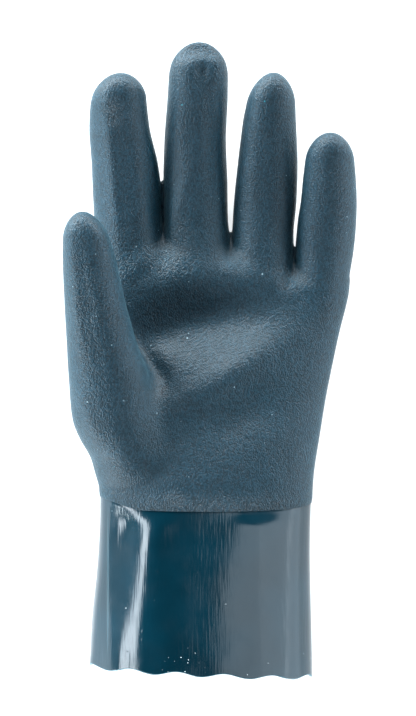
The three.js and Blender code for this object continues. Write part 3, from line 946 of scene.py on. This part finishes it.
def shared_group(name, inputs, result, fill):
    """A node group, made once, with named inputs and one output."""
    if name in bpy.data.node_groups:
        return bpy.data.node_groups[name]
    tree = bpy.data.node_groups.new(name, "ShaderNodeTree")
    for label, kind in inputs.items():
        tree.interface.new_socket(label, in_out="INPUT", socket_type="NodeSocket" + kind)
    tree.interface.new_socket(result, in_out="OUTPUT", socket_type="NodeSocketFloat")
    graph = Graph(tree)
    given = tree.nodes.new("NodeGroupInput").outputs
    graph.node("NodeGroupOutput", {0: fill(graph, given)})
    return tree


def soft_spot():
    """Mask of an oval region that fades out at its half sizes."""

    def fill(graph, given):
        offset = graph.vector("SUBTRACT", given["Position"], given["Centre"])
        distance = graph.length(graph.vector("DIVIDE", offset, given["Half size"]))
        return graph.ramp(distance, SPOT_CORE, 1.0, 1.0, 0.0)

    inputs = {"Position": "Vector", "Centre": "Vector", "Half size": "Vector"}
    return shared_group("Soft spot", inputs, "Mask", fill)


def specks():
    """Mask of small round specks scattered about."""

    def fill(graph, given):
        scale = graph.maths("DIVIDE", 1.0, given["Spacing"])
        cells = graph.node("ShaderNodeTexVoronoi", {"Vector": given["Position"], "Scale": scale})
        distance = graph.product(cells.outputs["Distance"], given["Spacing"])
        reach = graph.maths("DIVIDE", distance, given["Radius"])
        round_mask = graph.ramp(reach, SPECK_CORE, 1.0, 1.0, 0.0)
        pick = graph.node("ShaderNodeSeparateColor", {0: cells.outputs["Color"]}).outputs[0]
        return graph.product(round_mask, graph.maths("LESS_THAN", pick, given["Share"]))

    inputs = {"Position": "Vector", "Spacing": "Float", "Radius": "Float", "Share": "Float"}
    return shared_group("Scattered specks", inputs, "Mask", fill)


def strewn(graph, position, kind):
    """Mask of specks of a kind."""
    return graph.group(specks(), {"Position": position, **kind})


def spot_mask(graph, position, spots):
    """Sum of soft spots, each given as its centre, its half size and its weight."""
    masks = []
    for centre, half_size, weight in spots:
        mask = graph.group(soft_spot(), {"Position": position, "Centre": centre, "Half size": half_size})
        masks.append(graph.product(mask, weight))
    return graph.total(*masks)


def stretched(graph, position, turn, along, across):
    """Coordinates turned about Z by an angle in degrees and counted in lengths along and across it."""
    inputs = {"Vector": position, "Rotation": (0, 0, math.radians(-turn))}
    turned = graph.node("ShaderNodeMapping", inputs, vector_type="POINT").outputs[0]
    return graph.vector("DIVIDE", turned, (along, across, across))


def principled(material):
    material.use_nodes = True
    return material.node_tree.nodes["Principled BSDF"]


def covered(graph, colour, mask, cover, mark):
    """A colour with marks of another over it, where the mask says, to the share that they cover."""
    return graph.mix(graph.product(mask, cover), colour, mark)


def shaded(colour, factor):
    """A colour made darker or lighter by a factor, for a colour socket."""
    return (*(channel * factor for channel in colour), 1)


def grip_relief(graph, position, grain, pits, settings):
    """Height of the grip coat's grain, wrinkles, soft swells and pits in metres."""
    near_edge = graph.ramp(graph.attribute("above_edge"), *ROUGH_EDGE, 1.0, 0.0)
    rough_places = graph.total(near_edge, spot_mask(graph, position, ROUGH_SPOTS), 1.0)
    grain_height = graph.product(grain, settings.grain_height, rough_places)
    palm = graph.noise(stretched(graph, position, *PALM_STRANDS), 1.0)
    palm = graph.product(palm, spot_mask(graph, position, PALM_WRINKLES))
    wavy = graph.noise(stretched(graph, position, *WAVY_STRANDS), 1.0)
    wavy = graph.product(wavy, spot_mask(graph, position, WAVY_WRINKLES))
    wrinkles = graph.product(graph.total(palm, wavy), settings.wrinkle_height)
    swell = graph.product(graph.noise(position, SWELL_SIZE), SWELL_HEIGHT)
    return graph.total(grain_height, wrinkles, swell, graph.product(pits, -PIT_DEPTH))


def grip_colour(graph, position, grain, pits, settings):
    """Colour of the grip coat: mottle, painted shade in places, painted light and shade of the grain and in
    the pits, and specks.
    """
    mottle = graph.ramp(graph.noise(position, MOTTLE_SIZE, 3.0), *DRIFT)
    colour = graph.mix(mottle, shaded(settings.colour, MOTTLE_SHADE), shaded(settings.colour, 1))
    # painted shade under the palm's crest, between the fingers and down two of their sides
    colour = graph.mix(spot_mask(graph, position, PAINTED_SHADE_SPOTS), colour, PAINTED_SHADE_COLOUR)
    # painted light and shade of the grain: the colour is darker in its hollows and lighter on its tops
    colour = graph.scaled(colour, graph.ramp(grain, *GRAIN_PAINTED_LIGHT))
    # painted shade in the pits, which the bump also dents
    colour = covered(graph, colour, pits, PIT_SHADE_COVER, PIT_SHADE_COLOUR)
    pale = graph.total(strewn(graph, position, PALE_SPECKS), spot_mask(graph, position, PALE_SPOTS))
    colour = covered(graph, colour, pale, PALE_COVER, PALE_COLOUR)
    teal = strewn(graph, graph.vector("ADD", position, TEAL_SHIFT), TEAL_SPECKS)
    return covered(graph, colour, teal, TEAL_COVER, TEAL_COLOUR)


def grip_material(settings):
    """Matt dipped coat: fine grain all over, coarser wrinkles and pits in places, and a few specks."""
    material = bpy.data.materials.new("Grip coat")
    shader = principled(material)
    graph = Graph(material.node_tree)
    position = graph.position()
    grain_place = stretched(graph, position, 90, GRAIN_STRETCH * settings.grain_size, settings.grain_size)
    grain = graph.total(graph.noise(grain_place, 1.0), graph.noise(grain_place, 0.5, 1.0))
    pits = graph.total(strewn(graph, position, PITS), spot_mask(graph, position, PIT_SPOTS))
    graph.fill(shader.inputs["Normal"], graph.bump(grip_relief(graph, position, grain, pits, settings)))
    graph.fill(shader.inputs["Base Color"], grip_colour(graph, position, grain, pits, settings))
    low, high = settings.roughness - PATCH_RANGE, settings.roughness + PATCH_RANGE
    patchy = graph.ramp(graph.noise(position, PATCH_SIZE), *PATCH_LEVELS, low, high)
    graph.fill(shader.inputs["Roughness"], patchy)
    for socket, value in GRIP_SHADER.items():
        graph.fill(shader.inputs[socket], value)
    return material


def gloss_relief(graph, position, settings):
    """Height of the glossy coat's ribs, soft unevenness and small bumps in metres."""
    ribs = graph.noise(stretched(graph, position, 90, RIB_LENGTH, settings.rib_pitch), 1.0, 1.0)
    share = graph.ramp(graph.noise(position, RIB_PATCHES, 1.0), *RIB_SHARES)
    ribs = graph.product(ribs, share, settings.rib_height)
    wobble = graph.noise(stretched(graph, position, *WOBBLE_STRANDS), 1.0)
    wobble = graph.product(wobble, settings.wobble_height)
    bumps = graph.product(strewn(graph, position, COAT_BUMPS), COAT_BUMP_HEIGHT)
    return graph.total(ribs, wobble, bumps)


def gloss_colour(graph, position, marks, settings):
    """Colour of the glossy coat: a drifting tint, marks of dust, a painted highlight along the crease and the
    paler cut edge.
    """
    tint = graph.ramp(graph.noise(position, TINT_SIZE), *DRIFT)
    colour = graph.mix(tint, shaded(settings.colour, 1), shaded(settings.colour, TINT_LIGHT))
    colour = graph.mix(marks, colour, DUST_COLOUR)
    # painted highlight along the crease down the cuff's thumb side
    colour = covered(graph, colour, spot_mask(graph, position, CREASE_HIGHLIGHT_SPOTS), CREASE_HIGHLIGHT_COVER, CREASE_HIGHLIGHT_COLOUR)
    return covered(graph, colour, graph.attribute("cut_edge"), CUT_COVER, CUT_COLOUR)


def gloss_material(settings):
    """Glossy dipped coat over a knitted liner, whose wales show through as fine ribs down the cuff."""
    material = bpy.data.materials.new("Smooth coat")
    shader = principled(material)
    graph = Graph(material.node_tree)
    position = graph.position()
    graph.fill(shader.inputs["Normal"], graph.bump(gloss_relief(graph, position, settings)))
    dust = graph.product(strewn(graph, position, DUST), DUST_COVER)
    crumbs = graph.product(strewn(graph, position, CRUMBS), spot_mask(graph, position, DUST_SPOTS))
    marks = graph.maths("MAXIMUM", dust, crumbs)
    graph.fill(shader.inputs["Base Color"], gloss_colour(graph, position, marks, settings))
    smudge = graph.ramp(graph.noise(position, SMUDGE_SIZE, 3.0), *SMUDGE_LEVELS, 0.0, SMUDGE_ROUGHNESS)
    roughness = graph.total(smudge, settings.roughness, graph.product(marks, MARK_ROUGHNESS))
    graph.fill(shader.inputs["Roughness"], roughness)
    return material


class GloveHandSettings(bpy.types.PropertyGroup):
    """Sizes and colours of the coated hand."""

    mesh_step: FloatProperty(
        name="Mesh step", description="Spacing of the surface's vertices", default=0.00125, unit="LENGTH"
    )
    relax_rounds: IntProperty(name="Relax rounds", description="Rounds that even out the mesh", default=3)
    grain_size: FloatProperty(
        name="Grain size", description="Size of the coat's grain", default=0.0010, unit="LENGTH"
    )
    grain_height: FloatProperty(
        name="Grain height", description="Height of the coat's grain", default=0.00025, unit="LENGTH"
    )
    wrinkle_height: FloatProperty(
        name="Wrinkle height", description="Height of the fine wrinkles", default=0.00032, unit="LENGTH"
    )
    roughness: FloatProperty(
        name="Roughness", description="Mean roughness of the coat", default=0.42, subtype="FACTOR"
    )
    colour: FloatVectorProperty(
        name="Colour",
        description="Main colour of the grip coat",
        default=(0.0052, 0.0198, 0.0305),
        subtype="COLOR",
    )


class GloveCuffSettings(bpy.types.PropertyGroup):
    """Sizes and colours of the cuff."""

    sides: IntProperty(name="Sides", description="Vertices round the cuff", default=288)
    rows: IntProperty(name="Rows", description="Rows of vertices down the cuff", default=60)
    waves: IntProperty(name="Waves", description="Waves round the cut hem", default=12)
    wave_height: FloatProperty(
        name="Wave height", description="Height of the hem's waves", default=0.00085, unit="LENGTH"
    )
    rib_pitch: FloatProperty(
        name="Rib pitch", description="Pitch of the liner's ribs", default=0.0008, unit="LENGTH"
    )
    rib_height: FloatProperty(
        name="Rib height", description="Height of those ribs", default=0.00006, unit="LENGTH"
    )
    wobble_height: FloatProperty(
        name="Wobble height", description="Height of the coat's uneven places", default=0.00006, unit="LENGTH"
    )
    roughness: FloatProperty(
        name="Roughness", description="Least roughness of the coat", default=0.15, subtype="FACTOR"
    )
    colour: FloatVectorProperty(
        name="Colour",
        description="Main colour of the smooth coat",
        default=(0.00025, 0.0115, 0.019),
        subtype="COLOR",
    )


class GloveStageSettings(bpy.types.PropertyGroup):
    """Light of the stage."""

    light_strength: FloatProperty(name="Light strength", description="Factor on every light", default=1.0)
    floor_glow: FloatProperty(name="Floor glow", description="Light that the floor gives off", default=0.55)
    surround: FloatProperty(name="Surround", description="Light of the studio's surroundings", default=0.03)


class GLOVE_OT_hand(bpy.types.Operator):
    """Build the coated hand and its finish"""

    bl_idname = "glove.hand"
    bl_label = "Coated hand"

    def execute(self, context):
        settings = context.scene.glove_hand
        vertices, faces, heights = hand_shell(settings)
        piece = new_mesh("coated_hand", vertices, faces)
        add_attribute(piece, "above_edge", heights)
        piece.data.materials.append(grip_material(settings))
        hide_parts("hand")
        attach(piece, "root")
        return {"FINISHED"}


class GLOVE_OT_cuff(bpy.types.Operator):
    """Build the glossy cuff with its cut hem"""

    bl_idname = "glove.cuff"
    bl_label = "Glossy cuff"

    def execute(self, context):
        settings = context.scene.glove_cuff
        vertices, faces, attributes = cuff_shell(settings)
        piece = new_mesh("gauntlet_cuff", vertices, faces)
        for name, values in attributes.items():
            add_attribute(piece, name, values)
        tree = hem_tree(gloss_material(settings))
        apply_tree(
            piece,
            tree,
            {"Waves": float(settings.waves), "Wave height": settings.wave_height, "Slant": HEM_SLANT},
        )
        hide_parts("cuff")
        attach(piece, "root")
        return {"FINISHED"}


def add_light(name, turn, tilt, size, radiance, tint):
    """An area light of a size, whose direction is tilted from overhead towards a turn about Z, in degrees."""
    data = bpy.data.lights.new(name, "AREA")
    data.shape = "RECTANGLE"
    data.size_y, data.size = size
    data.energy = radiance * math.pi * size[0] * size[1]
    data.color = tint
    light = bpy.data.objects.new(name, data)
    turn, tilt = math.radians(turn), math.radians(tilt)
    direction = Vector((math.sin(tilt) * math.cos(turn), math.sin(tilt) * math.sin(turn), math.cos(tilt)))
    light.location = Vector(LIGHT_TARGET) + direction * LIGHT_DISTANCE
    light.rotation_mode = "QUATERNION"
    light.rotation_quaternion = direction.to_track_quat("Z", "Y")
    bpy.context.scene.collection.objects.link(light)


def add_floor(glow):
    """A pale floor that gives off a little light of its own."""
    corners = [(x * FLOOR_HALF, y * FLOOR_HALF, -FLOOR_DROP) for x, y in ((-1, -1), (1, -1), (1, 1), (-1, 1))]
    mesh = bpy.data.meshes.new("floor")
    mesh.from_pydata(corners, [], [(0, 1, 2, 3)])
    floor = bpy.data.objects.new("floor", mesh)
    bpy.context.scene.collection.objects.link(floor)
    material = bpy.data.materials.new("Pale floor")
    shader = principled(material)
    shader.inputs["Base Color"].default_value = FLOOR_COLOUR
    shader.inputs["Roughness"].default_value = FLOOR_ROUGHNESS
    shader.inputs["Emission Color"].default_value = (1, 1, 1, 1)
    shader.inputs["Emission Strength"].default_value = glow
    mesh.materials.append(material)


def add_surround(scene, strength):
    """The even light of the studio's surroundings."""
    world = bpy.data.worlds.new("Studio")
    world.use_nodes = True
    background = world.node_tree.nodes["Background"]
    background.inputs["Color"].default_value = STUDIO_COLOUR
    background.inputs["Strength"].default_value = strength
    scene.world = world
    scene.view_settings.view_transform = "Standard"


def add_camera(scene):
    """A camera that looks straight down on the palm."""
    data = bpy.data.cameras.new("Camera")
    data.sensor_width = SENSOR
    data.lens = SENSOR * (CAMERA_AT[2] - FIELD_LEVEL) / FIELD_HEIGHT
    camera = bpy.data.objects.new("Camera", data)
    camera.location = CAMERA_AT
    scene.collection.objects.link(camera)
    scene.camera = camera


class GLOVE_OT_stage(bpy.types.Operator):
    """Set the floor, the lights and the camera"""

    bl_idname = "glove.stage"
    bl_label = "Stage"

    def execute(self, context):
        settings = context.scene.glove_stage
        scene = context.scene
        add_floor(settings.floor_glow)
        for name, turn, tilt, size, radiance, tint in LIGHTS:
            add_light(name, turn, tilt, size, radiance * settings.light_strength, tint)
        add_surround(scene, settings.surround)
        add_camera(scene)
        return {"FINISHED"}


class GLOVE_PT_panel(bpy.types.Panel):
    """Sizes, colours and steps of the glove"""

    bl_idname = "GLOVE_PT_panel"
    bl_label = "Glove"
    bl_space_type = "VIEW_3D"
    bl_region_type = "UI"
    bl_category = "Glove"

    def draw(self, context):
        for group, operator in STEPS:
            settings = getattr(context.scene, group)
            for name in type(settings).__annotations__:
                self.layout.prop(settings, name)
            self.layout.operator(operator)


STEPS = (("glove_hand", "glove.hand"), ("glove_cuff", "glove.cuff"), ("glove_stage", "glove.stage"))
GROUPS = (GloveHandSettings, GloveCuffSettings, GloveStageSettings)
CLASSES = (*GROUPS, GLOVE_OT_hand, GLOVE_OT_cuff, GLOVE_OT_stage, GLOVE_PT_panel)


def register():
    for each in CLASSES:
        bpy.utils.register_class(each)
    for (name, _), group in zip(STEPS, GROUPS):
        setattr(bpy.types.Scene, name, PointerProperty(type=group))


def unregister():
    for name, _ in STEPS:
        delattr(bpy.types.Scene, name)
    for each in reversed(CLASSES):
        bpy.utils.unregister_class(each)


def main():
    register()
    bpy.ops.glove.hand()
    bpy.ops.glove.cuff()
    bpy.ops.glove.stage()


if __name__ == "__main__":
    main()
